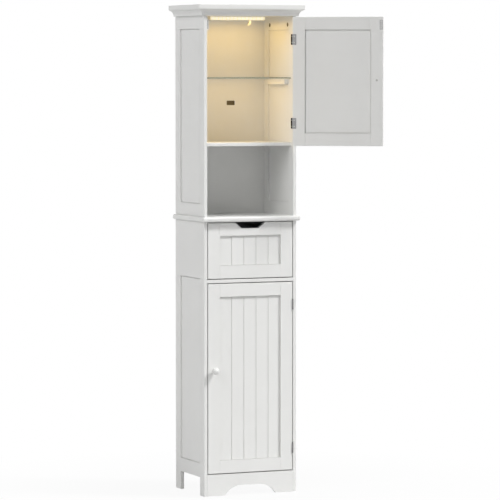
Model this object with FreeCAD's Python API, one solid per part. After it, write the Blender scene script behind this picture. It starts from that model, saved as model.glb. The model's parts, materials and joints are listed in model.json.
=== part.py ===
import FreeCAD, Part
import math
import os

# Tall painted bathroom cabinet: a lower unit with a cupboard and a drawer, a
# table top that runs across it, and an upper unit with an open niche, a lit
# compartment behind a hinged door, and a crown with a cove under it.
# Millimetres. X is to the right, the front faces -Y, Z is up from the floor.
# The origin is on the floor, under the middle of the body.
# The upper door rests open; the lower door and the drawer rest closed.

Vector = FreeCAD.Vector

# ---------- overall ----------
overall_height = 1700.0
body_width = 348.0
body_depth = 262.0
table_height = 969.0
crown_side_overhang = 26.0
crown_front_overhang = 18.0
upper_door_open_angle = 145.0

# ---------- boards ----------
side_thickness = 12.0
side_panel_thickness = 6.0
board_thickness = 12.0
table_thickness = 18.0
top_board_thickness = 22.0
crown_thickness = 16.0
back_thickness = 4.0
back_inset = 6.0
table_side_overhang = 10.0
table_front_overhang = 16.0
table_nose_radius = 7.0
table_corner = 4.5
tongue_depth = 6.0
tongue_slack = 0.5
back_groove_depth = 5.0
arris = 1.0
panel_line_width = 1.8
panel_line_depth = 1.6
cut_overrun = 1.0
place_tolerance = 1e-4

# ---------- side frames ----------
side_front_stile = 38.0
side_rear_stile = 46.0
upper_side_bottom_rail = 45.0
upper_side_top_rail = 46.0
leg_height = 64.0
lower_side_bottom_rail = 49.0
recess_above_divider = 2.0

# ---------- cove under the crown ----------
cove_foot = 7.0
cove_reveal = 3.5
cove_lip = 1.5
cove_hollow = 0.17
mitre_overrun = 3.0
crown_joint = 2.0

# ---------- fronts ----------
front_gap = 3.0
front_thickness = 15.0
front_stile = 44.0
front_rail = 45.0
front_panel_thickness = 5.0
front_panel_setback = 5.0
board_count = 5
groove_width = 3.0
groove_depth = 2.4
joint_chamfer = 0.8
drawer_front_height = 193.0
notch_top_width = 114.0
notch_bottom_width = 66.0
notch_depth = 20.0
notch_corner_radius = 5.0

# ---------- interior ----------
niche_height = 243.0
shelf_setback = 18.0
glass_thickness = 4.0
glass_arris = 0.5
glass_height_share = 0.506
glass_side_clearance = 1.0
cleat_height = 20.0
cleat_width = 15.0
cleat_front = 48.0
cleat_length = 146.0
cleat_corner_radius = 8.0
loose_shelf_share = 0.49
loose_shelf_clearance = 1.0
shelf_pin_radius = 2.5
shelf_pin_length = 16.0
shelf_pin_hole_depth = 8.0
shelf_pin_clearance = 0.05
shelf_pin_setback = 26.0
shelf_pin_rear_setback = 27.0
cable_slot_width = 32.0
cable_slot_height = 16.0
cable_slot_x = 33.0
cable_slot_rise = 135.0
cable_slot_corner = 3.0
cam_radius = 7.4
cam_clearance = 0.1
cam_thickness = 9.0
cam_recess = 0.8
cam_drop = 28.5
cam_inset = 50.0
cam_rear_inset = 58.0
cam_slot_length = 10.4
cam_slot_width = 1.6
cam_slot_depth = 2.0

# ---------- plinth ----------
apron_height = 75.0
arch_height = 34.0
arch_half_width = 96.0
arch_radius = 72.0

# ---------- drawer box ----------
drawer_box_length = 212.0
drawer_box_height = 112.0
drawer_box_rise = 14.0
drawer_wall = 12.0
drawer_side_clearance = 1.5
drawer_bottom_thickness = 4.0
drawer_bottom_rise = 9.0
drawer_bottom_groove = 5.0
runner_height = 12.0
runner_reach = 4.5
runner_clearance = 0.3
runner_rise = 45.0
runner_front_stop = 22.0
runner_end_gap = 12.0

# ---------- hinges ----------
hinge_height = 37.0
hinge_end_distance = 78.0
hinge_leaf_thickness = 1.0
hinge_barrel_radius = 2.0
hinge_pin_radius = 0.95
hinge_bore_radius = 1.0
hinge_axis_proud = 1.6
hinge_frame_leaf_width = 18.0
hinge_wrap_width = 13.0
hinge_knuckle_gap = 0.2
hinge_leaf_relief = 1.0

# ---------- knobs, catches ----------
knob_ball_radius = 12.5
knob_ball_centre = 16.5
knob_neck_radius = 4.5
knob_foot_radius = 7.5
knob_bore_depth = 14.0
upper_knob_rise = 5.0
lower_knob_rise = 29.0
screw_radius = 2.0
screw_clearance = 0.1
screw_head_radius = 3.8
screw_head_thickness = 2.2
screw_head_round = 0.9
screw_end_gap = 1.0
catch_width = 15.0
catch_height = 37.0
catch_depth = 14.0
catch_corner_radius = 2.5
catch_drop = 28.0
magnet_width = 6.0
magnet_height = 30.0
magnet_depth = 6.0
strike_width = 12.0
strike_height = 34.0
strike_thickness = 1.0
strike_edge_distance = 6.5
strike_gap = 0.5

# ---------- lamp and hook under the top ----------
lamp_length = 210.0
lamp_width = 16.0
lamp_base_height = 2.5
lamp_height = 13.0
lamp_setback = 120.0
lamp_cap_length = 3.0
lamp_cap_round = 2.5
lamp_lens_inset = 1.0
lamp_lens_radius = 4.0
hook_x = 56.5
hook_stem_width = 6.0
hook_drop = 31.0
hook_bend_radius = 2.5
hook_setback = 131.0
hook_depth = 7.0

# ---------- places worked out from the values above ----------
outer_half = body_width / 2
inner_half = outer_half - side_thickness
y_front = -body_depth / 2
y_back = body_depth / 2
back_y1 = y_back - back_inset
back_y0 = back_y1 - back_thickness
side_panel_x0 = inner_half + (side_thickness - side_panel_thickness) / 2
side_panel_x1 = side_panel_x0 + side_panel_thickness
side_recess_y0 = y_front + side_front_stile
side_recess_y1 = y_back - side_rear_stile

table_z0 = table_height - table_thickness
crown_z0 = overall_height - crown_thickness
top_board_z0 = crown_z0 - top_board_thickness
drawer_z1 = table_z0 - front_gap
drawer_z0 = drawer_z1 - drawer_front_height
divider_z1 = drawer_z0 - front_gap
divider_z0 = divider_z1 - board_thickness
lower_door_z0 = apron_height + front_gap
lower_door_z1 = divider_z0 - front_gap
shelf_z0 = table_height + niche_height
shelf_z1 = shelf_z0 + board_thickness
upper_door_z0 = shelf_z0
upper_door_z1 = top_board_z0 - front_gap
glass_z1 = shelf_z1 + (top_board_z0 - shelf_z1) * glass_height_share + glass_thickness
glass_z0 = glass_z1 - glass_thickness
bottom_board_z0 = apron_height - board_thickness
loose_shelf_z0 = apron_height + (divider_z0 - apron_height) * loose_shelf_share
cam_z = top_board_z0 - cam_drop

door_half = inner_half - front_gap
rail_half = door_half - front_stile
door_back = y_front + front_thickness
front_panel_y0 = y_front + front_panel_setback
front_panel_y1 = front_panel_y0 + front_panel_thickness
hinge_axis_x = inner_half - front_gap / 2
hinge_axis_y = y_front - hinge_axis_proud
knob_x = -(door_half - front_stile / 2)

drawer_box_half = inner_half - drawer_side_clearance
drawer_box_z0 = drawer_z0 + drawer_box_rise
drawer_box_y1 = door_back + drawer_box_length
runner_z0 = drawer_box_z0 + runner_rise
runner_y0 = door_back + runner_front_stop

parts = {}


# ---------- helpers ----------
def box(x0, x1, y0, y1, z0, z1):
    return Part.makeBox(x1 - x0, y1 - y0, z1 - z0, Vector(x0, y0, z0))


def mirrored(shape):
    return shape.mirror(Vector(0, 0, 0), Vector(1, 0, 0))


def line_round(x0, x1, y0, y1, z0, z1, along):
    """A thin square ring inside the edges of a recess, hollow along an axis."""
    w = panel_line_width
    if along == "x":
        hollow = box(x0, x1, y0 + w, y1 - w, z0 + w, z1 - w)
    else:
        hollow = box(x0 + w, x1 - w, y0, y1, z0 + w, z1 - w)
    return box(x0, x1, y0, y1, z0, z1).cut(hollow)


def group(shapes):
    return Part.makeCompound(shapes)


def edge_axis(edge):
    """The row axis that a straight edge runs along, or None."""
    if not isinstance(edge.Curve, Part.Line):
        return None
    along = edge.Vertexes[-1].Point - edge.Vertexes[0].Point
    for name in ("x", "y", "z"):
        if abs(abs(getattr(along, name)) - along.Length) < place_tolerance:
            return name
    return None


def edges_at(shape, axis, **places):
    """Straight edges along an axis whose middle lies at the given places."""
    found = []
    for edge in shape.Edges:
        if edge_axis(edge) != axis:
            continue
        middle = edge.CenterOfMass
        values = {name: wanted if isinstance(wanted, tuple) else (wanted,)
                  for name, wanted in places.items()}
        if all(any(abs(getattr(middle, name) - value) < place_tolerance for value in wanted)
               for name, wanted in values.items()):
            found.append(edge)
    return found


def prism_xz(points, y0, y1):
    """A solid with an outline in the XZ plane, from y0 to y1."""
    corners = [Vector(x, y0, z) for x, z in points]
    wire = Part.makePolygon(corners + [corners[0]])
    return Part.Face(wire).extrude(Vector(0, y1 - y0, 0))


def prism_xy(points, z0, z1):
    """A solid with an outline in the XY plane, from z0 to z1."""
    corners = [Vector(x, y, z0) for x, y in points]
    wire = Part.makePolygon(corners + [corners[0]])
    return Part.Face(wire).extrude(Vector(0, 0, z1 - z0))


def cylinder_x(radius, x0, x1, y, z):
    return Part.makeCylinder(radius, x1 - x0, Vector(x0, y, z), Vector(1, 0, 0))


def cylinder_y(radius, y0, y1, x, z):
    return Part.makeCylinder(radius, y1 - y0, Vector(x, y0, z), Vector(0, 1, 0))


def cylinder_z(radius, z0, z1, x, y):
    return Part.makeCylinder(radius, z1 - z0, Vector(x, y, z0), Vector(0, 0, 1))


def add_pair(name, shape):
    """One right-hand piece and its mirror image, as two nodes."""
    parts[name + "_right"] = shape
    parts[name + "_left"] = mirrored(shape)


# ---------- crown ----------
def cove_bar(place, foot, reach, along):
    """A length of cove: place() puts a projection and a height into space."""
    height = top_board_thickness
    start = Vector(foot, cove_lip, 0)
    end = Vector(reach, height - cove_lip, 0)
    chord = end - start
    hollow = Vector(-chord.y, chord.x, 0) * cove_hollow
    middle = (start + end) * 0.5 + hollow
    ring = [place(0, 0), place(foot, 0), place(start.x, start.y), place(middle.x, middle.y),
            place(end.x, end.y), place(reach, height), place(0, height)]
    edges = [Part.makeLine(ring[0], ring[1]), Part.makeLine(ring[1], ring[2]),
             Part.Arc(ring[2], ring[3], ring[4]).toShape(), Part.makeLine(ring[4], ring[5]),
             Part.makeLine(ring[5], ring[6]), Part.makeLine(ring[6], ring[0])]
    return Part.Face(Part.Wire(edges)).extrude(along)


def build_crown():
    crown = box(-outer_half - crown_side_overhang, outer_half + crown_side_overhang,
                y_front - crown_front_overhang, y_back, crown_z0, overall_height)
    parts["crown_board"] = crown.makeChamfer(arris, crown.Edges)
    parts["top_board"] = box(-outer_half, outer_half, y_front, y_back, top_board_z0, crown_z0)

    # The mitre runs from the body's corner along the ratio of the two reaches,
    # so the front and side sections meet on it point by point.
    side_reach = crown_side_overhang - cove_reveal
    front_reach = crown_front_overhang - cove_reveal
    front_foot = cove_foot * front_reach / side_reach
    right = outer_half + side_reach * mitre_overrun
    front = y_front - front_reach * mitre_overrun
    front_zone = prism_xy([(-outer_half, y_front), (outer_half, y_front),
                           (right, front), (-right, front)], top_board_z0, crown_z0)
    side_zone = prism_xy([(outer_half, y_front), (right, front),
                          (right, y_back), (outer_half, y_back)], top_board_z0, crown_z0)

    bar = cove_bar(lambda out, up: Vector(-right, y_front - out, top_board_z0 + up),
                   front_foot, front_reach, Vector(2 * right, 0, 0))
    parts["crown_cove_front"] = bar.common(front_zone)
    bar = cove_bar(lambda out, up: Vector(outer_half + out, front, top_board_z0 + up),
                   cove_foot, side_reach, Vector(0, y_back - front, 0))
    add_pair("crown_cove", bar.common(side_zone))


# ---------- sides and back ----------
def side_frame(z0, z1, recess_z0, recess_z1, back_groove_z0):
    frame = box(inner_half, outer_half, y_front, y_back, z0, z1)
    frame = frame.cut(box(inner_half, outer_half, side_recess_y0, side_recess_y1,
                          recess_z0, recess_z1))
    frame = frame.cut(box(side_panel_x0, side_panel_x1, side_recess_y0 - tongue_depth,
                          side_recess_y1 + tongue_depth, recess_z0 - tongue_depth,
                          recess_z1 + tongue_depth))
    return frame.cut(box(inner_half, inner_half + back_groove_depth, back_y0, back_y1,
                         back_groove_z0, z1))


def ease_front_corners(frame):
    edges = edges_at(frame, "z", x=(inner_half, outer_half), y=y_front)
    return frame.makeChamfer(arris, edges)


def side_panel(recess_z0, recess_z1):
    """A side's inset panel, with a sunk line next to the frame on both faces."""
    reach = tongue_depth - tongue_slack
    panel = box(side_panel_x0, side_panel_x1, side_recess_y0 - reach, side_recess_y1 + reach,
                recess_z0 - reach, recess_z1 + reach)
    for x in (side_panel_x0, side_panel_x1 - panel_line_depth):
        panel = panel.cut(line_round(x, x + panel_line_depth, side_recess_y0, side_recess_y1,
                                     recess_z0, recess_z1, "x"))
    return panel


def cam_places():
    return [y_front + cam_inset, y_back - cam_rear_inset]


def build_upper_sides():
    recess_z0 = table_height + upper_side_bottom_rail
    recess_z1 = top_board_z0 - upper_side_top_rail
    frame = side_frame(table_height, top_board_z0, recess_z0, recess_z1, table_height)
    # a small rebate under the crown gives it the shadow line of its joint
    joint_z0 = top_board_z0 - crown_joint
    frame = frame.cut(box(outer_half - crown_joint, outer_half, y_front, y_back,
                          joint_z0, top_board_z0))
    frame = frame.cut(box(inner_half, outer_half, y_front, y_front + crown_joint,
                          joint_z0, top_board_z0))
    frame = ease_front_corners(frame)
    cams = []
    depth = cam_thickness + cam_recess
    for y in cam_places():
        frame = frame.cut(cylinder_x(cam_radius + cam_clearance, inner_half,
                                     inner_half + depth, y, cam_z))
        cam = cylinder_x(cam_radius, inner_half + cam_recess, inner_half + depth, y, cam_z)
        slot = box(inner_half + cam_recess, inner_half + cam_recess + cam_slot_depth,
                   y - cam_slot_length / 2, y + cam_slot_length / 2,
                   cam_z - cam_slot_width / 2, cam_z + cam_slot_width / 2)
        cams.append(cam.cut(slot))
    add_pair("upper_side_frame", frame)
    add_pair("upper_side_panel", side_panel(recess_z0, recess_z1))
    parts["cam_locks"] = group(cams + [mirrored(cam) for cam in cams])


def shelf_pin_places():
    return [y_front + shelf_pin_setback, y_back - shelf_pin_rear_setback]


def build_lower_sides():
    recess_z0 = leg_height + lower_side_bottom_rail
    recess_z1 = divider_z1 + recess_above_divider
    frame = side_frame(0.0, table_z0, recess_z0, recess_z1, bottom_board_z0)
    frame = frame.cut(box(inner_half, outer_half, side_recess_y0, side_recess_y1,
                          0.0, leg_height))
    frame = ease_front_corners(frame)
    pin_z = loose_shelf_z0 - shelf_pin_radius
    pins = []
    for y in shelf_pin_places():
        frame = frame.cut(cylinder_x(shelf_pin_radius + shelf_pin_clearance, inner_half,
                                     inner_half + shelf_pin_hole_depth, y, pin_z))
        pins.append(cylinder_x(shelf_pin_radius,
                               inner_half + shelf_pin_hole_depth - shelf_pin_length,
                               inner_half + shelf_pin_hole_depth, y, pin_z))
    add_pair("lower_side_frame", frame)
    add_pair("lower_side_panel", side_panel(recess_z0, recess_z1))
    parts["shelf_pins"] = group(pins + [mirrored(pin) for pin in pins])


def build_backs():
    half = inner_half + back_groove_depth - tongue_slack
    upper = box(-half, half, back_y0, back_y1, table_height, top_board_z0)
    slot_z = shelf_z1 + cable_slot_rise
    slot = box(cable_slot_x - cable_slot_width / 2, cable_slot_x + cable_slot_width / 2,
               back_y0, back_y1, slot_z - cable_slot_height / 2, slot_z + cable_slot_height / 2)
    slot = slot.makeFillet(cable_slot_corner, [e for e in slot.Edges if edge_axis(e) == "y"])
    parts["upper_back_panel"] = upper.cut(slot)
    parts["lower_back_panel"] = box(-half, half, back_y0, back_y1, bottom_board_z0, table_z0)


# ---------- shelves and plinth ----------
def build_table_top():
    reach = outer_half + table_side_overhang
    front = y_front - table_front_overhang
    slab = box(-reach, reach, front, y_back, table_z0, table_height)
    slab = slab.makeChamfer(table_corner, edges_at(slab, "z", x=(-reach, reach), y=front))
    nosed = [e for e in slab.Edges if abs(e.CenterOfMass.y - y_back) > arris
             and abs(abs(e.CenterOfMass.z - table_height + table_thickness / 2)
                     - table_thickness / 2) < place_tolerance]
    parts["table_top"] = slab.makeFillet(table_nose_radius, nosed)


def board_between_sides(y0, z0, name, eased=True):
    board = box(-inner_half, inner_half, y0, back_y0, z0, z0 + board_thickness)
    if eased:
        board = board.makeChamfer(arris, edges_at(board, "x", y=y0))
    parts[name] = board


def build_shelves():
    board_between_sides(y_front + shelf_setback, shelf_z0, "fixed_shelf")
    board_between_sides(y_front, divider_z0, "divider_board")
    board_between_sides(y_front + board_thickness, bottom_board_z0, "bottom_board", False)

    half = inner_half - glass_side_clearance
    glass = box(-half, half, y_front + shelf_setback, back_y0 - glass_side_clearance,
                glass_z0, glass_z1)
    parts["glass_shelf"] = glass.makeChamfer(glass_arris, glass.Edges)

    cleat = box(side_panel_x0 - cleat_width, side_panel_x0, y_front + cleat_front,
                y_front + cleat_front + cleat_length, glass_z0 - cleat_height, glass_z0)
    cleat = cleat.makeFillet(cleat_corner_radius, edges_at(
        cleat, "x", y=y_front + cleat_front, z=glass_z0))
    parts["glass_shelf_cleats"] = group([cleat, mirrored(cleat)])

    half = inner_half - loose_shelf_clearance
    loose = box(-half, half, y_front + shelf_setback, back_y0 - loose_shelf_clearance,
                loose_shelf_z0, loose_shelf_z0 + board_thickness)
    parts["lower_shelf"] = loose.makeChamfer(arris, edges_at(
        loose, "x", y=y_front + shelf_setback))


def build_apron():
    apron = box(-inner_half, inner_half, y_front, y_front + board_thickness, 0.0, apron_height)
    # Each end of the arch is an arc that meets the flat top smoothly.
    turn = math.acos(1.0 - arch_height / arch_radius)
    flat_half = arch_half_width - arch_radius * math.sin(turn)
    y = y_front - cut_overrun

    def end_arc(side):
        points = []
        for part in (0.0, 0.5, 1.0):
            angle = turn * part
            points.append(Vector(side * (flat_half + arch_radius * math.sin(angle)), y,
                                 arch_height - arch_radius * (1.0 - math.cos(angle))))
        return points

    left, right = end_arc(-1), end_arc(1)
    wire = Part.Wire([Part.Arc(left[2], left[1], left[0]).toShape(),
                      Part.makeLine(left[0], right[0]),
                      Part.Arc(*right).toShape(),
                      Part.makeLine(right[2], left[2])])
    arch = Part.Face(wire).extrude(Vector(0, board_thickness + 2 * cut_overrun, 0))
    parts["front_apron"] = apron.cut(arch)


# ---------- fronts ----------
def front_stile_piece(z0, z1):
    """The right-hand stile of a closed front, grooved for its panel."""
    stile = box(rail_half, door_half, y_front, door_back, z0, z1)
    stile = stile.cut(box(rail_half, rail_half + tongue_depth, front_panel_y0, front_panel_y1,
                          z0 + front_rail - tongue_depth, z1 - front_rail + tongue_depth))
    edges = edges_at(stile, "z", x=door_half, y=(y_front, door_back))
    edges += edges_at(stile, "x", y=(y_front, door_back), z=(z0, z1))
    return stile.makeChamfer(arris, edges)


def front_rail_piece(z0, z1, groove_at_top):
    """A rail between the stiles, grooved along the edge that holds the panel."""
    rail = box(-rail_half, rail_half, y_front, door_back, z0, z1)
    if groove_at_top:
        groove_z0, groove_z1, outer_z = z1 - tongue_depth, z1, z0
    else:
        groove_z0, groove_z1, outer_z = z0, z0 + tongue_depth, z1
    rail = rail.cut(box(-rail_half, rail_half, front_panel_y0, front_panel_y1,
                        groove_z0, groove_z1))
    rail = rail.makeChamfer(arris, edges_at(rail, "x", y=(y_front, door_back), z=outer_z))
    ends = [e for e in rail.Edges if edge_axis(e) == "z"
            and abs(abs(e.CenterOfMass.x) - rail_half) < place_tolerance
            and min(abs(e.CenterOfMass.y - y_front), abs(e.CenterOfMass.y - door_back)) < place_tolerance]
    return rail.makeChamfer(joint_chamfer, ends)


def front_panel_piece(z0, z1):
    """The inset panel: V grooves divide its front into boards, a line runs round each face."""
    reach = tongue_depth - tongue_slack
    panel = box(-rail_half - reach, rail_half + reach, front_panel_y0, front_panel_y1,
                z0 + front_rail - reach, z1 - front_rail + reach)
    pitch = 2 * rail_half / board_count
    for i in range(1, board_count):
        x = -rail_half + pitch * i
        vee = prism_xy([(x - groove_width / 2, front_panel_y0), (x, front_panel_y0 + groove_depth),
                        (x + groove_width / 2, front_panel_y0)], z0, z1)
        panel = panel.cut(vee)
    for y in (front_panel_y0, front_panel_y1 - panel_line_depth):
        panel = panel.cut(line_round(-rail_half, rail_half, y, y + panel_line_depth,
                                     z0 + front_rail, z1 - front_rail, "y"))
    return panel


def front_pieces(z0, z1):
    """The five pieces of a framed front between two heights."""
    stile = front_stile_piece(z0, z1)
    return {"stile_right": stile, "stile_left": mirrored(stile),
            "rail_bottom": front_rail_piece(z0, z0 + front_rail, True),
            "rail_top": front_rail_piece(z1 - front_rail, z1, False),
            "panel": front_panel_piece(z0, z1)}


# ---------- hinges ----------
def hinge_levels(z0, z1):
    inset = min(hinge_end_distance, (z1 - z0) / 4)
    return [z0 + inset, z1 - inset]


def knuckle(z0, z1):
    return cylinder_z(hinge_barrel_radius, z0, z1, hinge_axis_x, hinge_axis_y)


def bored(leaf, z):
    bore = cylinder_z(hinge_bore_radius, z - hinge_height, z + hinge_height,
                      hinge_axis_x, hinge_axis_y)
    return leaf.cut(bore).removeSplitter()


def hinge_frame_leaf(z):
    """The leaf on the side frame, with the two outer knuckles."""
    half = hinge_height / 2
    third = hinge_height / 6 + hinge_knuckle_gap / 2
    plate = box(inner_half - hinge_leaf_thickness, inner_half, hinge_axis_y,
                y_front + hinge_frame_leaf_width, z - half, z + half)
    plate = plate.cut(box(0, inner_half, hinge_axis_y, y_front + hinge_leaf_relief,
                          z - third, z + third))
    return bored(plate.fuse([knuckle(z - half, z - third), knuckle(z + third, z + half)]), z)


def hinge_door_leaf(z):
    """The leaf that wraps round the closed door's edge, with the middle knuckle."""
    half = hinge_height / 2
    third = hinge_height / 6 - hinge_knuckle_gap / 2
    edge_x1 = door_half + hinge_leaf_thickness
    edge = box(door_half, edge_x1, y_front + hinge_leaf_relief,
               door_back + hinge_leaf_thickness, z - half, z + half)
    neck = box(door_half, edge_x1, hinge_axis_y, y_front + hinge_leaf_relief,
               z - third, z + third)
    wrap = box(door_half - hinge_wrap_width, edge_x1, door_back,
               door_back + hinge_leaf_thickness, z - half, z + half)
    corners = edges_at(wrap, "y", x=door_half - hinge_wrap_width)
    wrap = wrap.makeChamfer(arris, corners)
    return bored(edge.fuse([neck, wrap, knuckle(z - third, z + third)]), z)


def hinge_pin(z):
    """The fixed pin, flush with the ends of the barrel."""
    half = hinge_height / 2
    return cylinder_z(hinge_pin_radius, z - half, z + half, hinge_axis_x, hinge_axis_y)


# ---------- knobs, catches ----------
def knob(z):
    """A ball knob on a short tapered neck."""
    meet = knob_ball_centre - math.sqrt(knob_ball_radius ** 2 - knob_neck_radius ** 2)
    forward = Vector(0, -1, 0)
    ball = Part.makeSphere(knob_ball_radius, Vector(knob_x, y_front - knob_ball_centre, z), forward)
    neck = Part.makeCone(knob_foot_radius, knob_neck_radius, meet,
                         Vector(knob_x, y_front, z), forward)
    bore = cylinder_y(screw_radius + screw_clearance, y_front - knob_bore_depth, y_front,
                      knob_x, z)
    return ball.fuse(neck).cut(bore)


def knob_screw(z):
    """The machine screw that holds the knob, with its head on the inner face."""
    shank = cylinder_y(screw_radius, y_front - knob_bore_depth + screw_end_gap, door_back,
                       knob_x, z)
    head = cylinder_y(screw_head_radius, door_back, door_back + screw_head_thickness, knob_x, z)
    rim = [e for e in head.Edges if abs(e.CenterOfMass.y - door_back - screw_head_thickness) < place_tolerance
           and e.isClosed()]
    return head.makeChamfer(screw_head_round, rim).fuse(shank)


def bored_for_knob(stile, z):
    return stile.cut(cylinder_y(screw_radius + screw_clearance, y_front, door_back, knob_x, z))


def catch(z):
    """A catch body on the left side frame, open at the front for its magnet."""
    y0 = door_back + strike_thickness + strike_gap
    body = box(-inner_half, -inner_half + catch_width, y0, y0 + catch_depth,
               z - catch_height / 2, z + catch_height / 2)
    body = body.makeFillet(catch_corner_radius, edges_at(
        body, "y", x=-inner_half + catch_width))
    centre = -inner_half + catch_width / 2
    pocket = box(centre - magnet_width / 2, centre + magnet_width / 2, y0, y0 + magnet_depth,
                 z - magnet_height / 2, z + magnet_height / 2)
    return body.cut(pocket), pocket


def strike_plate(z):
    x = -door_half + strike_edge_distance
    plate = box(x - strike_width / 2, x + strike_width / 2, door_back,
                door_back + strike_thickness, z - strike_height / 2, z + strike_height / 2)
    return plate.makeChamfer(arris, [e for e in plate.Edges if edge_axis(e) == "y"])


# ---------- doors ----------
def opened(shape):
    """A piece of the closed upper door, swung to where it rests."""
    turned = shape.copy()
    turned.rotate(Vector(hinge_axis_x, hinge_axis_y, 0), Vector(0, 0, 1), upper_door_open_angle)
    return turned


def build_door(name, z0, z1, knob_rise, place):
    knob_z = (z0 + z1) / 2 + knob_rise
    pieces = {f"{name}_{key}": shape for key, shape in front_pieces(z0, z1).items()}
    pieces[f"{name}_stile_left"] = bored_for_knob(pieces[f"{name}_stile_left"], knob_z)
    pieces[f"{name}_knob"] = knob(knob_z)
    pieces[f"{name}_knob_screw"] = knob_screw(knob_z)
    pieces[f"{name}_strike_plate"] = strike_plate(z1 - catch_drop)
    pieces[f"{name}_hinge_leaves"] = group([hinge_door_leaf(z) for z in hinge_levels(z0, z1)])
    for key, shape in pieces.items():
        parts[key] = place(shape)


def build_doors():
    build_door("upper_door", upper_door_z0, upper_door_z1, upper_knob_rise, opened)
    build_door("lower_door", lower_door_z0, lower_door_z1, lower_knob_rise, lambda shape: shape)
    levels = hinge_levels(upper_door_z0, upper_door_z1)
    levels += hinge_levels(lower_door_z0, lower_door_z1)
    parts["hinge_frame_leaves"] = group([hinge_frame_leaf(z) for z in levels])
    parts["hinge_pins"] = group([hinge_pin(z) for z in levels])
    catches = [catch(z1 - catch_drop) for z1 in (upper_door_z1, lower_door_z1)]
    parts["door_catches"] = group([body for body, magnet in catches])
    parts["catch_magnets"] = group([magnet for body, magnet in catches])


# ---------- drawer ----------
def notched(rail):
    """The drawer's top rail with its finger notch: slanted sides, rounded floor corners."""
    z = drawer_z1
    over = cut_overrun
    slope = (notch_top_width - notch_bottom_width) / 2 / notch_depth
    notch = prism_xz([(-notch_top_width / 2 - slope * over, z + over),
                      (-notch_bottom_width / 2, z - notch_depth),
                      (notch_bottom_width / 2, z - notch_depth),
                      (notch_top_width / 2 + slope * over, z + over)],
                     y_front - over, door_back + over)
    floor = [e for e in notch.Edges if edge_axis(e) == "y"
             and abs(e.CenterOfMass.z - z + notch_depth) < place_tolerance]
    return rail.cut(notch.makeFillet(notch_corner_radius, floor))


def drawer_side():
    side = box(drawer_box_half - drawer_wall, drawer_box_half, door_back, drawer_box_y1,
               drawer_box_z0, drawer_box_z0 + drawer_box_height)
    bottom_z0 = drawer_box_z0 + drawer_bottom_rise
    side = side.cut(box(drawer_box_half - drawer_wall,
                        drawer_box_half - drawer_wall + drawer_bottom_groove,
                        door_back, drawer_box_y1, bottom_z0, bottom_z0 + drawer_bottom_thickness))
    # the runner's groove stops behind the front and is open at the rear
    reach = inner_half - runner_depth() - runner_clearance
    side = side.cut(box(reach, drawer_box_half, runner_y0 - runner_clearance * 2, drawer_box_y1,
                        runner_z0 - runner_clearance, runner_z0 + runner_height + runner_clearance))
    return side


def runner_depth():
    return drawer_side_clearance + runner_reach


def build_drawer():
    pieces = front_pieces(drawer_z0, drawer_z1)
    pieces["rail_top"] = notched(pieces["rail_top"])
    for key, shape in pieces.items():
        parts["drawer_front_" + key] = shape
    add_pair("drawer_side", drawer_side())
    inner = drawer_box_half - drawer_wall
    z0 = drawer_box_z0
    bottom_z0 = z0 + drawer_bottom_rise
    back = box(-inner, inner, drawer_box_y1 - drawer_wall, drawer_box_y1, z0,
               z0 + drawer_box_height)
    back = back.cut(box(-inner, inner, drawer_box_y1 - drawer_wall,
                        drawer_box_y1 - drawer_wall + drawer_bottom_groove,
                        bottom_z0, bottom_z0 + drawer_bottom_thickness))
    parts["drawer_back"] = back
    half = inner + drawer_bottom_groove - tongue_slack
    parts["drawer_bottom"] = box(-half, half, door_back,
                                 drawer_box_y1 - drawer_wall + drawer_bottom_groove - tongue_slack,
                                 bottom_z0, bottom_z0 + drawer_bottom_thickness)
    runner = box(inner_half - runner_depth(), inner_half, runner_y0, back_y0 - runner_end_gap,
                 runner_z0, runner_z0 + runner_height)
    parts["drawer_runners"] = group([runner, mirrored(runner)])


# ---------- lamp and hook ----------
def build_lamp():
    half = lamp_length / 2
    y0 = y_front + lamp_setback - lamp_width / 2
    y1 = y0 + lamp_width
    z1 = top_board_z0
    z0 = z1 - lamp_height
    base_z0 = z1 - lamp_base_height
    base = box(-half, half, y0, y1, base_z0, z1)
    lens = box(-half + lamp_cap_length, half - lamp_cap_length, y0 + lamp_lens_inset,
               y1 - lamp_lens_inset, z0, base_z0)
    parts["lamp_lens"] = lens.makeFillet(lamp_lens_radius, edges_at(
        lens, "x", y=(y0 + lamp_lens_inset, y1 - lamp_lens_inset), z=z0))
    cap = box(half - lamp_cap_length, half, y0, y1, z0, base_z0)
    cap = cap.makeFillet(lamp_cap_round, edges_at(cap, "y", x=half, z=z0))
    parts["lamp_housing"] = base.fuse([cap, mirrored(cap)]).removeSplitter()


def build_hook():
    x1 = hook_x + hook_stem_width / 2
    x0 = x1 - hook_stem_width
    outer = hook_bend_radius + hook_stem_width
    centre_x = x0 - hook_bend_radius
    centre_z = top_board_z0 - hook_drop + outer
    y0 = y_front + hook_setback
    y1 = y0 + hook_depth
    stem = box(x0, x1, y0, y1, centre_z, top_board_z0)
    ring = cylinder_y(outer, y0, y1, centre_x, centre_z)
    ring = ring.cut(cylinder_y(hook_bend_radius, y0, y1, centre_x, centre_z))
    bend = ring.common(box(centre_x, x1, y0, y1, centre_z - outer, centre_z))
    foot = box(centre_x - hook_bend_radius, centre_x, y0, y1, centre_z - outer,
               centre_z - hook_bend_radius)
    parts["top_hook"] = stem.fuse([bend, foot]).removeSplitter()


def build_all():
    build_crown()
    build_upper_sides()
    build_lower_sides()
    build_backs()
    build_table_top()
    build_shelves()
    build_apron()
    build_doors()
    build_drawer()
    build_lamp()
    build_hook()


build_all()
os.makedirs("parts", exist_ok=True)
for node, solid in parts.items():
    if not solid.isValid():
        print("invalid:", node)
    solid.exportStep("parts/" + node + ".step")
print(len(parts), "nodes")
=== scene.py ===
import json
import math

import bmesh
import bpy
from mathutils import Matrix, Vector


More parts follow.
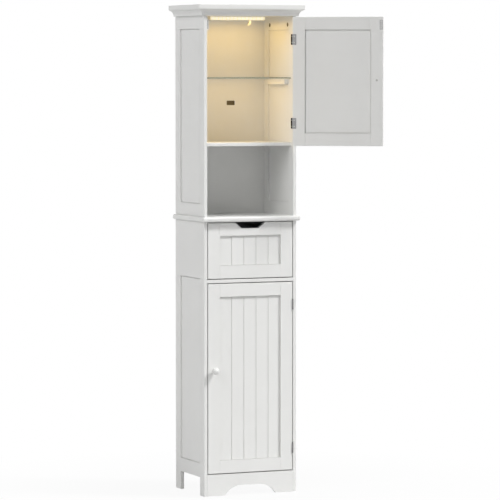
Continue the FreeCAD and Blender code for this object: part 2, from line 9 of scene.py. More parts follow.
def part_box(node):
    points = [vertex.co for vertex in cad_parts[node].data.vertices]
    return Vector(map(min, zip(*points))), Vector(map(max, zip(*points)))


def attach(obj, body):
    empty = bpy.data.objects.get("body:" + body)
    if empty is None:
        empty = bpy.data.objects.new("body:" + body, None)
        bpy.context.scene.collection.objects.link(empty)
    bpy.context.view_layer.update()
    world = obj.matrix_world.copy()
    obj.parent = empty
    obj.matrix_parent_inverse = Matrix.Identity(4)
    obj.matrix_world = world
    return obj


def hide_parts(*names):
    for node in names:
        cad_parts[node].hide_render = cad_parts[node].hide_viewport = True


# The look of the tall bathroom cabinet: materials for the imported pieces, the
# screws that have no solid, thin dark lines cut beside the panels, and then
# the camera, the studio and the lights. Metres; +Z is up, the front faces -Y.

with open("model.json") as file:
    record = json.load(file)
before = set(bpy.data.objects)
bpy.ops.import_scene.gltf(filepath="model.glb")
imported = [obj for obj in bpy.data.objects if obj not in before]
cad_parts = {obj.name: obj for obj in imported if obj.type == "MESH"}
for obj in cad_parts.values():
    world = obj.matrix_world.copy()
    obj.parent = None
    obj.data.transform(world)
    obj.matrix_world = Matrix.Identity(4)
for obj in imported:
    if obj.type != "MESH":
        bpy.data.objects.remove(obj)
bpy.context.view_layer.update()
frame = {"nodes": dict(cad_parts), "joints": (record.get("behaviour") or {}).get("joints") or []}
nodes = frame["nodes"]

MM = 0.001
DOORS = ("upper_door", "lower_door")

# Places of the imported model, its doors closed, that the pieces made here are set by.
# Halves are of widths, from the cabinet's middle plane.
FRONT_Y = -131 * MM
INNER_HALF, OUTER_HALF = 162 * MM, 174 * MM
DOOR_HALF, DOOR_PANEL_HALF = 159 * MM, 115 * MM
DOOR_BACK_Y = -116 * MM
BACK_PANEL_Y = 125 * MM
KNOB_X = -137 * MM


def middle(node_name, axis):
    """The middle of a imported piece's box along one axis."""
    low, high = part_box(node_name)
    return (low[axis] + high[axis]) / 2


def link(obj):
    bpy.context.scene.collection.objects.link(obj)


def aim(obj, direction):
    """Turn a camera or a lamp to look along a direction."""
    obj.rotation_mode = "QUATERNION"
    obj.rotation_quaternion = direction.to_track_quat("-Z", "Y")


# ---------------------------------------------------------------- camera
SENSOR_WIDTH = 36.0
LENS = 217.6
NEAR_CLIP, FAR_CLIP = 0.5, 60.0
CAMERA_PLACE = Vector((-4.1435, -9.738, 1.4754))
CAMERA_TARGET = Vector((-0.00177, -0.131, 0.85209))


def make_camera():
    data = bpy.data.cameras.new("view")
    data.sensor_width = SENSOR_WIDTH
    data.lens = LENS
    data.clip_start, data.clip_end = NEAR_CLIP, FAR_CLIP
    cam = bpy.data.objects.new("view", data)
    link(cam)
    cam.location = CAMERA_PLACE
    aim(cam, CAMERA_TARGET - CAMERA_PLACE)
    bpy.context.scene.camera = cam


# ---------------------------------------------------------------- shader helpers
NOISE_LOW, NOISE_HIGH = 0.3, 0.7  # the band that most of a noise's values lie in


def new_material(name):
    mat = bpy.data.materials.new(name)
    mat.use_nodes = True
    tree = mat.node_tree
    tree.nodes.clear()
    out = tree.nodes.new("ShaderNodeOutputMaterial")
    shader = tree.nodes.new("ShaderNodeBsdfPrincipled")
    tree.links.new(shader.outputs["BSDF"], out.inputs["Surface"])
    return mat, tree, shader


def set_surface(tree, source):
    """Show this shader instead of the one that the output had."""
    out = next(n for n in tree.nodes if n.type == "OUTPUT_MATERIAL")
    tree.links.new(source, out.inputs["Surface"])


def node(tree, kind, **inputs):
    made = tree.nodes.new(kind)
    for key, value in inputs.items():
        made.inputs[key].default_value = value
    return made


def math_node(tree, operation, *values):
    """The result of one operation; each value is a number or another node's output."""
    made = tree.nodes.new("ShaderNodeMath")
    made.operation = operation
    for socket, value in zip(made.inputs, values):
        if isinstance(value, float):
            socket.default_value = value
        else:
            tree.links.new(value, socket)
    return made.outputs["Value"]


def map_range(tree, source, low, high, new_low=0.0, new_high=1.0):
    """A value mapped from low..high to new_low..new_high, and held at the ends."""
    made = node(tree, "ShaderNodeMapRange", **{"From Min": low, "From Max": high,
                                               "To Min": new_low, "To Max": new_high})
    tree.links.new(source, made.inputs["Value"])
    return made.outputs["Result"]


def separate(tree, source):
    made = tree.nodes.new("ShaderNodeSeparateXYZ")
    tree.links.new(source, made.inputs["Vector"])
    return made.outputs


def mix_shaders(tree, share, first, second):
    made = tree.nodes.new("ShaderNodeMixShader")
    tree.links.new(share, made.inputs["Fac"])
    tree.links.new(first, made.inputs[1])
    tree.links.new(second, made.inputs[2])
    return made.outputs["Shader"]


def mix_in_colour(tree, share, first, colour):
    """A colour output mixed with a plain colour."""
    made = tree.nodes.new("ShaderNodeMix")
    made.data_type = "RGBA"
    sockets = [socket for socket in made.inputs if socket.type == "RGBA"]
    tree.links.new(share, made.inputs["Factor"])
    tree.links.new(first, sockets[0])
    sockets[1].default_value = (*colour, 1.0)
    return next(socket for socket in made.outputs if socket.type == "RGBA")


def ramp(tree, source, stops):
    """A value as a colour between two stops, each a position and a colour."""
    made = tree.nodes.new("ShaderNodeValToRGB")
    for element, (at, colour) in zip(made.color_ramp.elements, stops):
        element.position = at
        element.color = (*colour, 1.0)
    tree.links.new(source, made.inputs["Fac"])
    return made.outputs["Color"]


def coordinates(tree, stretch=(1.0, 1.0, 1.0)):
    coords = tree.nodes.new("ShaderNodeTexCoord")
    mapping = node(tree, "ShaderNodeMapping", Scale=stretch)
    tree.links.new(coords.outputs["Object"], mapping.inputs["Vector"])
    return mapping.outputs["Vector"]


def noise(tree, coords, scale, detail=3.0, rough=0.55):
    made = node(tree, "ShaderNodeTexNoise", Scale=scale, Detail=detail, Roughness=rough)
    tree.links.new(coords, made.inputs["Vector"])
    return made.outputs["Fac"]


def noise_tone(tree, source, dark, light):
    """A noise value as a colour between two tones."""
    return ramp(tree, source, [(NOISE_LOW, dark), (NOISE_HIGH, light)])


def set_roughness(tree, shader, source, low, high):
    """Gloss that varies with a noise value."""
    tree.links.new(map_range(tree, source, NOISE_LOW, NOISE_HIGH, low, high),
                   shader.inputs["Roughness"])


def bump(tree, shader, height, strength, distance):
    made = node(tree, "ShaderNodeBump", Strength=strength, Distance=distance)
    tree.links.new(height, made.inputs["Height"])
    tree.links.new(made.outputs["Normal"], shader.inputs["Normal"])


# ---------------------------------------------------------------- materials
# scales of the noises, in waves per metre
MOTTLE, GLOSS_MOTTLE, ORANGE_PEEL = 9.0, 60.0, 900.0
METAL_STAIN, METAL_GRAIN = 120.0, 1500.0
GLASS_SMEAR, LENS_FROST, LAMP_DOTS = 40.0, 300.0, 22.0

PEEL_HEIGHT, GRAIN_HEIGHT = 0.4 * MM, 0.2 * MM
GRAIN_STRENGTH = 0.08
LACQUER_GLOSS_SPREAD, METAL_GLOSS_SPREAD = 0.05, 0.08  # either way from the roughness
COAT_ROUGHNESS = 0.12
STAIN_SHARE = 0.8  # of the metal's colour, where it is stained
# painted shade on the hinge frame leaves: their edge reflections are tinted dark, and their
# colour turns near-black within this distance behind the front plane
SHADED_EDGE_TINT = (0.1, 0.1, 0.1, 1.0)
SHADE_FADE = 0.2 * MM

# how level glass is (0 upright, 1 level) where its edge's look ends and its face's starts
ALPHA_BAND, COLOUR_BAND = (0.5, 0.9), (0.4, 0.95)
GLASS_EDGE, GLASS_FACE = (0.17, 0.21, 0.16), (0.86, 0.93, 0.90)
GLASS_EDGE_ALPHA, GLASS_FACE_ALPHA = 0.8, 0.12
GLASS_ROUGHNESS = (0.02, 0.06)
GLASS_IOR = 1.5

LAMP_BETWEEN, LAMP_AT_DOT = (0.95, 0.86, 0.58), (1.0, 0.94, 0.74)
LAMP_DOT_EDGE = 0.6
LENS_ROUGHNESS = (0.3, 0.45)
LENS_GLOW = 0.45


def lacquer(name, colour, mottle, rough, peel=0.05, coat=0.0):
    """Sprayed paint: fine orange peel, and a faint mottle in tone and gloss."""
    mat, tree, shader = new_material(name)
    coords = coordinates(tree)
    shade = tuple(c - mottle for c in colour)
    tree.links.new(noise_tone(tree, noise(tree, coords, MOTTLE, 4.0), shade, colour),
                   shader.inputs["Base Color"])
    set_roughness(tree, shader, noise(tree, coords, GLOSS_MOTTLE),
                  rough - LACQUER_GLOSS_SPREAD, rough + LACQUER_GLOSS_SPREAD)
    bump(tree, shader, noise(tree, coords, ORANGE_PEEL, 2.0), peel, PEEL_HEIGHT)
    shader.inputs["Coat Weight"].default_value = coat
    shader.inputs["Coat Roughness"].default_value = COAT_ROUGHNESS
    return mat


def metal(name, colour, rough, painted_shade=None):
    """Steel or zinc with a fine grain. Where a shade colour is given, the piece is painted that
    near-black colour behind the cabinet's front plane as painted shade, and its edge reflections
    are tinted dark too, so that a hinge's barrel, which stands in front of it, stays bright."""
    mat, tree, shader = new_material(name)
    coords = coordinates(tree)
    stained = tuple(c * STAIN_SHARE for c in colour)
    tone = noise_tone(tree, noise(tree, coords, METAL_STAIN), stained, colour)
    # painted shade: the given near-black colour behind the cabinet's front plane
    if painted_shade:
        behind = map_range(tree, separate(tree, coords)["Y"],
                           FRONT_Y - SHADE_FADE, FRONT_Y + SHADE_FADE)
        tone = mix_in_colour(tree, behind, tone, painted_shade)
        shader.inputs["Specular Tint"].default_value = SHADED_EDGE_TINT
    grain = noise(tree, coords, METAL_GRAIN, 2.0)
    tree.links.new(tone, shader.inputs["Base Color"])
    set_roughness(tree, shader, grain, rough - METAL_GLOSS_SPREAD, rough + METAL_GLOSS_SPREAD)
    bump(tree, shader, grain, GRAIN_STRENGTH, GRAIN_HEIGHT)
    shader.inputs["Metallic"].default_value = 1.0
    return mat


def glass(name):
    """Clear float glass: faint on its faces, green and denser through its edges."""
    mat, tree, shader = new_material(name)
    geometry = tree.nodes.new("ShaderNodeNewGeometry")
    flat = math_node(tree, "ABSOLUTE", separate(tree, geometry.outputs["Normal"])["Z"])
    tree.links.new(map_range(tree, flat, *ALPHA_BAND, GLASS_EDGE_ALPHA, GLASS_FACE_ALPHA),
                   shader.inputs["Alpha"])
    tree.links.new(ramp(tree, flat, zip(COLOUR_BAND, (GLASS_EDGE, GLASS_FACE))),
                   shader.inputs["Base Color"])
    set_roughness(tree, shader, noise(tree, coordinates(tree), GLASS_SMEAR), *GLASS_ROUGHNESS)
    shader.inputs["IOR"].default_value = GLASS_IOR
    return mat


def lit_lens(name):
    """The frosted cover of the lamp, lit from within by a row of small lights."""
    mat, tree, shader = new_material(name)
    wave = node(tree, "ShaderNodeTexWave", Scale=LAMP_DOTS, Distortion=0.0)
    tree.links.new(coordinates(tree, (1.0, 0.0, 0.0)), wave.inputs["Vector"])
    glow = ramp(tree, wave.outputs["Fac"], [(0.0, LAMP_BETWEEN), (LAMP_DOT_EDGE, LAMP_AT_DOT)])
    tree.links.new(glow, shader.inputs["Base Color"])
    tree.links.new(glow, shader.inputs["Emission Color"])
    shader.inputs["Emission Strength"].default_value = LENS_GLOW
    set_roughness(tree, shader, noise(tree, coordinates(tree), LENS_FROST), *LENS_ROUGHNESS)
    return mat


# lacquer: name, colour, depth of the mottle, roughness, strength of the peel, coat
# metal: name, colour, roughness, and a near-black painted shade colour where one is given
materials = {
    "paint": lacquer("white_lacquer", (0.80, 0.80, 0.785), 0.015, 0.36, coat=0.15),
    "board": lacquer("white_foil_board", (0.78, 0.78, 0.765), 0.015, 0.42, 0.03),
    "back": lacquer("white_foil_back", (0.77, 0.77, 0.755), 0.015, 0.45, 0.03),
    "knob": lacquer("white_knob_gloss", (0.79, 0.79, 0.775), 0.02, 0.3, 0.02, 0.3),
    "plastic": lacquer("white_plastic", (0.86, 0.86, 0.84), 0.02, 0.28, 0.02),
    "lamp": lacquer("lamp_plastic", (0.86, 0.84, 0.78), 0.02, 0.35, 0.02),
    "leaf": metal("hinge_leaf_steel", (0.30, 0.30, 0.30), 0.38),
    # the hinge frame leaves: steel painted near-black behind the front plane, as painted shade
    "dark": metal("hinge_steel_painted_shade", (0.30, 0.30, 0.30), 0.38, painted_shade=(0.02, 0.02, 0.02)),
    "plate": metal("strike_plate_steel", (0.42, 0.42, 0.42), 0.4),
    "screw": metal("screw_steel", (0.5, 0.5, 0.48), 0.3),
    "cam": metal("cam_zinc", (0.16, 0.14, 0.11), 0.5),
    "magnet": metal("magnet_steel", (0.5, 0.5, 0.5), 0.4),
    "glass": glass("shelf_glass"),
    "lens": lit_lens("lamp_lens_glow"),
}

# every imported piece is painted, apart from these
finish = {
    "upper_back_panel": "back", "lower_back_panel": "back",
    "drawer_side_left": "board", "drawer_side_right": "board", "drawer_back": "board",
    "drawer_bottom": "board", "drawer_runners": "board",
    "hinge_frame_leaves": "dark", "hinge_pins": "leaf",
    "door_catches": "plastic", "catch_magnets": "magnet", "top_hook": "plastic",
    "cam_locks": "cam", "shelf_pins": "screw",
    "glass_shelf": "glass", "lamp_housing": "lamp", "lamp_lens": "lens",
}
for door in DOORS:
    finish.update({door + "_knob": "knob", door + "_knob_screw": "screw",
                   door + "_strike_plate": "plate", door + "_hinge_leaves": "leaf"})
for name, obj in nodes.items():
    obj.data.materials.clear()
    obj.data.materials.append(materials[finish.get(name, "paint")])


# ---------------------------------------------------------------- screws
# radius of the head, height of its dome, depth of its recess
FRAME_LEAF_HEAD = (2.3 * MM, 0.45 * MM, 0.35 * MM)
DOOR_LEAF_HEAD = (2.3 * MM, 0.5 * MM, 0.4 * MM)
STRIKE_HEAD = (2.2 * MM, 0.3 * MM, 0.22 * MM)
CATCH_HEAD = (2.6 * MM, 0.8 * MM, 0.6 * MM)
BACK_HEAD = (3.0 * MM, 0.8 * MM, 0.6 * MM)
KNOB_HEAD_RADIUS, KNOB_HEAD_BEVEL = 3.8 * MM, 0.6 * MM
KNOB_HEAD = (KNOB_HEAD_RADIUS - KNOB_HEAD_BEVEL, 0.3 * MM, 1.3 * MM)

# how far each cross is turned, in radians; the screws of one fitting stand at
# one radian less and one more than this
FRAME_SCREW_TURN, DOOR_SCREW_TURN, STRIKE_SCREW_TURN = 0.3, 0.8, 0.2
CATCH_SCREW_TURN, BACK_SCREW_TURN, KNOB_SCREW_TURN = 0.5, 0.5, 0.9

# the cross recess: its arms as shares of the radius, the width of its sloping
# walls as a share of an arm's half width, and its depth at an arm's edge
ARM_LENGTH, ARM_HALF_WIDTH = 0.62, 0.14
RECESS_SLOPE, RECESS_START = 0.6, 0.4
HEAD_RINGS, HEAD_CORNERS = 12, 48
HEAD_SUNK = 0.3 * MM

HINGE_HALF_HEIGHT = 18.5 * MM
PLATE_THICKNESS = 1 * MM
SCREW_SPACING = 10.5 * MM  # from the middle of a hinge, strike plate or catch
FRAME_SCREW_SETBACK = 9 * MM
DOOR_SCREW_INSET = 6 * MM
STRIKE_INSET = 6.5 * MM
CATCH_WIDTH = 15 * MM
CATCH_SCREW_SETBACK = 10 * MM
BACK_SCREW_SPACING = 100 * MM
KNOB_HEAD_RIM, KNOB_HEAD_HEIGHT = 0.9 * MM, 1.9 * MM
KNOB_SHANK_RADIUS, KNOB_SHANK_LENGTH = 2 * MM, 28 * MM


def at_rest(joint_name):
    """The turn from a door's closed state, its lower limit, to where it rests."""
    joint = next(j for j in frame["joints"] if j["name"] == joint_name)
    pivot = Vector(joint["pos_m"])
    turn = Matrix.Rotation(math.radians(-joint["range_deg"][0]), 4, "Z")
    return Matrix.Translation(pivot) @ turn @ Matrix.Translation(-pivot)


def screw(name, centre, facing, head, body, turn, place=None, tail=()):
    """A cross-recess screw: a low dome over centre, then the rings (radius, height) of its
    tail. turn is how far the recess is turned, and place moves the whole screw."""
    radius, proud, sunk = head
    arm, half_width = radius * ARM_LENGTH, radius * ARM_HALF_WIDTH
    made = bmesh.new()

    def height(x, y):
        dome = proud * (1.0 - (x * x + y * y) / radius ** 2)
        inside = max(min(half_width - abs(x), arm - abs(y)),
                     min(half_width - abs(y), arm - abs(x)))
        share = inside / (half_width * RECESS_SLOPE) + RECESS_START
        return dome - sunk * min(1.0, max(0.0, share))

    def ring(r, level):
        made_ring = []
        for j in range(HEAD_CORNERS):
            angle = 2 * math.pi * j / HEAD_CORNERS
            x, y = r * math.cos(angle), r * math.sin(angle)
            made_ring.append(made.verts.new((x, y, height(x, y) if level is None else level)))
        return made_ring

    rings = [ring(radius * (i + 1) / HEAD_RINGS, None) for i in range(HEAD_RINGS)]
    rings += [ring(r, level) for r, level in tail or [(radius, -HEAD_SUNK)]]
    top = made.verts.new((0, 0, height(0, 0)))
    for j in range(HEAD_CORNERS):
        k = (j + 1) % HEAD_CORNERS
        made.faces.new((top, rings[0][j], rings[0][k])).smooth = True
        for i, (inner, outer) in enumerate(zip(rings, rings[1:])):
            face = made.faces.new((inner[j], outer[j], outer[k], inner[k]))
            face.smooth = i < HEAD_RINGS - 1
    made.faces.new(list(reversed(rings[-1])))
    mesh = bpy.data.meshes.new(name)
    made.to_mesh(mesh)
    made.free()
    mesh.materials.append(materials["screw"])
    aimed = Vector(facing).to_track_quat("Z", "Y").to_matrix().to_4x4()
    spin = aimed @ Matrix.Rotation(turn, 4, "Z")
    mesh.transform((place or Matrix()) @ Matrix.Translation(centre) @ spin)
    obj = bpy.data.objects.new(name, mesh)
    link(obj)
    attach(obj, body)
    return obj


def add_hinge_screws():
    """Two screws in each leaf of each hinge."""
    for door in DOORS:
        place = at_rest(door + "_hinge")
        low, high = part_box(door + "_hinge_leaves")
        for level, middle_z in (("low", low.z + HINGE_HALF_HEIGHT),
                                ("high", high.z - HINGE_HALF_HEIGHT)):
            for i, side in enumerate((-1, 1)):
                name = f"{door}_hinge_{level}_screw_{i + 1}"
                z = middle_z + side * SCREW_SPACING
                screw(name + "_frame",
                      (INNER_HALF - PLATE_THICKNESS, FRONT_Y + FRAME_SCREW_SETBACK, z),
                      (-1, 0, 0), FRAME_LEAF_HEAD, "carcass", FRAME_SCREW_TURN + side)
                screw(name + "_door",
                      (DOOR_HALF - DOOR_SCREW_INSET, DOOR_BACK_Y + PLATE_THICKNESS, z),
                      (0, 1, 0), DOOR_LEAF_HEAD, door, DOOR_SCREW_TURN - side, place)


def add_catch_screws():
    """Two screws in each strike plate and in each catch."""
    for door in DOORS:
        place = at_rest(door + "_hinge")
        for i, side in enumerate((-1, 1)):
            z = middle(door + "_strike_plate", 2) + side * SCREW_SPACING
            screw(f"{door}_strike_screw_{i + 1}",
                  (-DOOR_HALF + STRIKE_INSET, DOOR_BACK_Y + PLATE_THICKNESS, z),
                  (0, 1, 0), STRIKE_HEAD, door, STRIKE_SCREW_TURN - side, place)
            screw(f"{door}_catch_screw_{i + 1}",
                  (-INNER_HALF + CATCH_WIDTH, DOOR_BACK_Y + CATCH_SCREW_SETBACK, z),
                  (1, 0, 0), CATCH_HEAD, "carcass", CATCH_SCREW_TURN + side)


def add_back_screws():
    """Screws through the back panels into the rear edges of the boards."""
    for board in ("fixed_shelf", "divider_board", "bottom_board"):
        for i, side in enumerate((-1, 0, 1)):
            screw(f"{board}_back_screw_{i + 1}",
                  (side * BACK_SCREW_SPACING, BACK_PANEL_Y, middle(board, 2)),
                  (0, 1, 0), BACK_HEAD, "carcass", BACK_SCREW_TURN + side)


def replace_knob_screws():
    """The knobs' machine screws again, with the cross recess in their heads."""
    tail = [(KNOB_HEAD_RADIUS, -KNOB_HEAD_RIM), (KNOB_HEAD_RADIUS, -KNOB_HEAD_HEIGHT),
            (KNOB_SHANK_RADIUS, -KNOB_HEAD_HEIGHT),
            (KNOB_SHANK_RADIUS, -KNOB_HEAD_HEIGHT - KNOB_SHANK_LENGTH)]
    for door in DOORS:
        centre = (KNOB_X, DOOR_BACK_Y + KNOB_HEAD_HEIGHT, middle(door + "_knob_screw", 2))
        piece = screw(door + "_knob_machine_screw", centre, (0, 1, 0), KNOB_HEAD, door,
                      KNOB_SCREW_TURN, at_rest(door + "_hinge"), tail)
        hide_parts(door + "_knob_screw")


# ---------------------------------------------------------------- scribed lines
PANEL_TONGUE = 5.5 * MM  # how far a panel reaches into the frame round it
CUT_OVERRUN = 1 * MM
SIDE_LINE_WIDTHS = (1.6 * MM, 0.9 * MM)  # the upright lines, the level ones
SIDE_LINE_DEPTH = 2 * MM
SIDE_LINE_OFFSET = 0.6 * MM
DOOR_LINE_WIDTHS = (0.8 * MM, 0.8 * MM)
DOOR_LINE_DEPTH = 1.2 * MM
DOOR_LINE_OFFSET = 0.4 * MM
JOINT_LINE_ABOVE_TABLE = 2 * MM
JOINT_LINE_BELOW_TABLE = 1 * MM
WELD_DISTANCE = 2e-6


def boxes_mesh(boxes):
    made = bmesh.new()
    for low, high in boxes:
        corners = bmesh.ops.create_cube(made, size=1.0)["verts"]
        for vert in corners:
            vert.co = Vector(l + (c + 0.5) * (h - l) for l, h, c in zip(low, high, vert.co))
    mesh = bpy.data.meshes.new("cutter")
    made.to_mesh(mesh)
    made.free()
    return mesh


def welded_copy(mesh):
    """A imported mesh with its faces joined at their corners, as an exact cut needs."""
    whole = bmesh.new()
    whole.from_mesh(mesh)
    bmesh.ops.remove_doubles(whole, verts=whole.verts, dist=WELD_DISTANCE)
    copy = mesh.copy()
    whole.to_mesh(copy)
    whole.free()
    return copy


def scribed(node_name, body, boxes, place=None):
    """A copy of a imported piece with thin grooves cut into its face, which stands for it."""
    piece = bpy.data.objects.new(node_name + "_scribed", welded_copy(nodes[node_name].data))
    cutter = bpy.data.objects.new("cutter", boxes_mesh(boxes))
    cutter.data.transform(place or Matrix())
    link(piece)
    link(cutter)
    cut = piece.modifiers.new("cut", "BOOLEAN")
    cut.operation = "DIFFERENCE"
    cut.solver = "EXACT"
    cut.use_self = True
    cut.object = cutter
    bpy.context.view_layer.update()
    done = piece.evaluated_get(bpy.context.evaluated_depsgraph_get())
    cut_mesh = bpy.data.meshes.new_from_object(done)
    piece.modifiers.clear()
    piece.data = cut_mesh
    bpy.data.objects.remove(cutter)
    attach(piece, body)
    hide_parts(node_name)


def ring_boxes(across, up, depth, offset, widths, order):
    """Four thin boxes round a recess, an offset outside it. order() puts a box's spans
    across, up and in depth into the order x, y, z."""
    wide, high = widths
    a0, a1 = across[0] - offset, across[1] + offset
    z0, z1 = up[0] - offset, up[1] + offset
    spans = [((a0 - wide, a0), (z0 - high, z1 + high)),
             ((a1, a1 + wide), (z0 - high, z1 + high)),
             ((a0, a1), (z0 - high, z0)),
             ((a0, a1), (z1, z1 + high))]
    return [tuple(zip(*order(a, z, depth))) for a, z in spans]


def scribe_sides():
    """A line round each side panel, and one where each side meets the table top."""
    faces = (("right", (OUTER_HALF - SIDE_LINE_DEPTH, OUTER_HALF + CUT_OVERRUN)),
             ("left", (-OUTER_HALF - CUT_OVERRUN, -OUTER_HALF + SIDE_LINE_DEPTH)))
    for unit in ("upper", "lower"):
        low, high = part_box(unit + "_side_panel_right")
        across = (low.y + PANEL_TONGUE, high.y - PANEL_TONGUE)
        up = (low.z + PANEL_TONGUE, high.z - PANEL_TONGUE)
        for name, face in faces:
            boxes = ring_boxes(across, up, face, SIDE_LINE_OFFSET, SIDE_LINE_WIDTHS,
                               lambda a, z, d: (d, a, z))
            frame_low, frame_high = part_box(f"{unit}_side_frame_{name}")
            if unit == "upper":
                joint = (frame_low.z - CUT_OVERRUN, frame_low.z + JOINT_LINE_ABOVE_TABLE)
            else:
                joint = (frame_high.z - JOINT_LINE_BELOW_TABLE, frame_high.z + CUT_OVERRUN)
            boxes.append(((face[0], frame_low.y - CUT_OVERRUN, joint[0]),
                          (face[1], frame_high.y + CUT_OVERRUN, joint[1])))
            scribed(f"{unit}_side_frame_{name}", "carcass", boxes)


def scribe_doors():
    """A line round each door's panel, on the inner face."""
    face = (DOOR_BACK_Y - DOOR_LINE_DEPTH, DOOR_BACK_Y + CUT_OVERRUN)
    for door in DOORS:
        low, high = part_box(door + "_panel")
        boxes = ring_boxes((-DOOR_PANEL_HALF, DOOR_PANEL_HALF),
                           (low.z + PANEL_TONGUE, high.z - PANEL_TONGUE), face,
                           DOOR_LINE_OFFSET, DOOR_LINE_WIDTHS, lambda a, z, d: (a, d, z))
        for part in ("stile_left", "stile_right", "rail_bottom", "rail_top"):
            scribed(f"{door}_{part}", door, boxes, at_rest(door + "_hinge"))


# ---------------------------------------------------------------- studio
FLOOR_COLOUR = (0.56, 0.56, 0.56, 1.0)
FLOOR_HALF = 30.0
FLOOR_DROP = 0.6 * MM
STAGE_ROUGHNESS = 0.9
SHADOW_NEAR, SHADOW_FAR = 0.25, 1.2
SHADOW_WHITE = 0.93  # how white the floor is to the camera at the cabinet's foot

# painted shade: the near-black colour of the sheet seen through the cable slot
SLOT_SHADE_COLOUR = (0.13, 0.1, 0.05, 1.0)
SLOT_X, SLOT_Z = 33 * MM, 1359 * MM
SLOT_SHEET_HALF_WIDTH, SLOT_SHEET_HALF_HEIGHT = 30 * MM, 20 * MM
SLOT_SHEET_GAP = 3 * MM

PLAIN_WHITE = (1.0, 1.0, 1.0, 1.0)
SKY = 0.245
SKY_LEFT = 0.06
SKY_LOW, SKY_HIGH = 1.5, 0.1  # shares of the sky's light at the horizon and overhead

# name, direction towards the light, strength, angular size, whether it shows in gloss
SUNS = [("key_right", (0.61, -0.36, 0.706), 3.1, 0.17, True),
        ("soft_left", (-0.68, -0.42, 0.6), 1.22, 0.7, True),
        ("soft_back", (0.35, 0.87, 0.35), 0.9, 0.5, False)]
SUN_DISTANCE = 5
GLOW_SIZE = (0.27, 0.17)
GLOW_COLOUR = (1.0, 0.62, 0.12)
GLOW_POWER = 0.32
GLOW_POWER_LOW = 0.135
GLOW_DROP = 2 * MM


def seen_rays(tree):
    """1 where a camera, mirror or glass ray meets the surface, 0 for lighting rays."""
    path = tree.nodes.new("ShaderNodeLightPath")
    total = path.outputs["Is Camera Ray"]
    for other in ("Is Glossy Ray", "Is Transmission Ray"):
        total = math_node(tree, "MAXIMUM", total, path.outputs[other])
    return total


def quad(name, corners, material):
    """A flat object with four corners."""
    mesh = bpy.data.meshes.new(name)
    mesh.from_pydata(corners, [], [(0, 1, 2, 3)])
    mesh.materials.append(material)
    obj = bpy.data.objects.new(name, mesh)
    link(obj)
    return obj


def make_floor():
    """A pale floor. It shows the shadow near the cabinet and fades into white further out."""
    mat, tree, shader = new_material("studio_floor")
    shader.inputs["Base Color"].default_value = FLOOR_COLOUR
    shader.inputs["Roughness"].default_value = STAGE_ROUGHNESS
    shader.inputs["Specular IOR Level"].default_value = 0.0
    place = tree.nodes.new("ShaderNodeNewGeometry")
    distance = tree.nodes.new("ShaderNodeVectorMath")
    distance.operation = "LENGTH"
    tree.links.new(place.outputs["Position"], distance.inputs[0])
    fade = map_range(tree, distance.outputs["Value"], SHADOW_NEAR, SHADOW_FAR, SHADOW_WHITE)
    plain = node(tree, "ShaderNodeEmission", Color=PLAIN_WHITE, Strength=1.0)
    set_surface(tree, mix_shaders(tree, math_node(tree, "MULTIPLY", seen_rays(tree), fade),
                                  shader.outputs["BSDF"], plain.outputs["Emission"]))
    half = FLOOR_HALF
    floor = quad("floor", [(-half, -half, 0), (half, -half, 0), (half, half, 0),
                           (-half, half, 0)], mat)
    floor.location.z = -FLOOR_DROP


def make_slot_shade_sheet():
    """A small sheet behind the cable slot, painted a near-black colour as painted shade, so that
    the slot shows dark. It has one side only: from behind the cabinet it isn't there, and it
    takes no light away."""
    mat, tree, shader = new_material("slot_painted_shade")
    shader.inputs["Base Color"].default_value = SLOT_SHADE_COLOUR
    shader.inputs["Roughness"].default_value = STAGE_ROUGHNESS
    side = tree.nodes.new("ShaderNodeNewGeometry")
    clear = tree.nodes.new("ShaderNodeBsdfTransparent")
    set_surface(tree, mix_shaders(tree, side.outputs["Backfacing"],
                                  shader.outputs["BSDF"], clear.outputs["BSDF"]))
    y = BACK_PANEL_Y + SLOT_SHEET_GAP
    x0, x1 = SLOT_X - SLOT_SHEET_HALF_WIDTH, SLOT_X + SLOT_SHEET_HALF_WIDTH
    z0, z1 = SLOT_Z - SLOT_SHEET_HALF_HEIGHT, SLOT_Z + SLOT_SHEET_HALF_HEIGHT
    shade_sheet = quad("slot_painted_shade", [(x0, y, z0), (x1, y, z0), (x1, y, z1), (x0, y, z1)], mat)
    shade_sheet.visible_shadow = shade_sheet.visible_diffuse = shade_sheet.visible_glossy = False


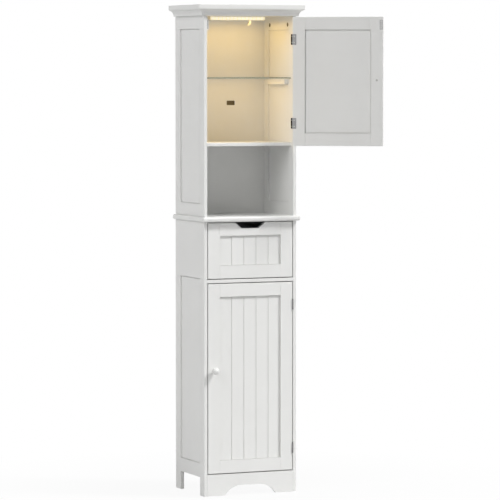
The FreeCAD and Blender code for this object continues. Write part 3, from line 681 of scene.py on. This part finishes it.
def make_world():
    """White to the camera. Its soft light is weaker overhead and a little stronger from
    the left."""
    world = bpy.data.worlds.new("studio")
    bpy.context.scene.world = world
    world.use_nodes = True
    tree = world.node_tree
    tree.nodes.clear()
    out = tree.nodes.new("ShaderNodeOutputWorld")
    way = tree.nodes.new("ShaderNodeTexCoord")
    parts = separate(tree, way.outputs["Generated"])
    across = math_node(tree, "MULTIPLY_ADD", parts["X"], -SKY_LEFT, SKY)
    rise = map_range(tree, parts["Z"], 0.0, 1.0, SKY_LOW, SKY_HIGH)
    soft = node(tree, "ShaderNodeBackground", Color=PLAIN_WHITE)
    tree.links.new(math_node(tree, "MULTIPLY", across, rise), soft.inputs["Strength"])
    plain = node(tree, "ShaderNodeBackground", Color=PLAIN_WHITE, Strength=1.0)
    tree.links.new(mix_shaders(tree, seen_rays(tree), soft.outputs["Background"],
                               plain.outputs["Background"]), out.inputs["Surface"])


def make_suns():
    for name, towards, energy, angle, in_gloss in SUNS:
        sun = bpy.data.lights.new(name, "SUN")
        sun.energy = energy
        sun.angle = angle
        holder = bpy.data.objects.new(name, sun)
        holder.visible_glossy = in_gloss
        holder.location = Vector(towards) * SUN_DISTANCE
        aim(holder, -Vector(towards))
        link(holder)


def make_lamp_glow():
    """The lamp's light: a soft area under its lens, and one under the glass shelf."""
    lens_low, glass_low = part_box("lamp_lens")[0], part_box("glass_shelf")[0]
    for name, z, power in (("lamp_glow", lens_low.z, GLOW_POWER),
                           ("lamp_glow_low", glass_low.z, GLOW_POWER_LOW)):
        glow = bpy.data.lights.new(name, "AREA")
        glow.shape = "RECTANGLE"
        glow.size, glow.size_y = GLOW_SIZE
        glow.energy = power
        glow.color = GLOW_COLOUR
        holder = bpy.data.objects.new(name, glow)
        holder.visible_camera = False
        holder.location = (0, middle("lamp_lens", 1), z - GLOW_DROP)
        link(holder)


# ---------------------------------------------------------------- the scene
add_hinge_screws()
add_catch_screws()
add_back_screws()
replace_knob_screws()
scribe_sides()
scribe_doors()

bpy.context.scene.view_settings.view_transform = "Standard"
make_camera()
make_floor()
make_slot_shade_sheet()
make_world()
make_suns()
make_lamp_glow()
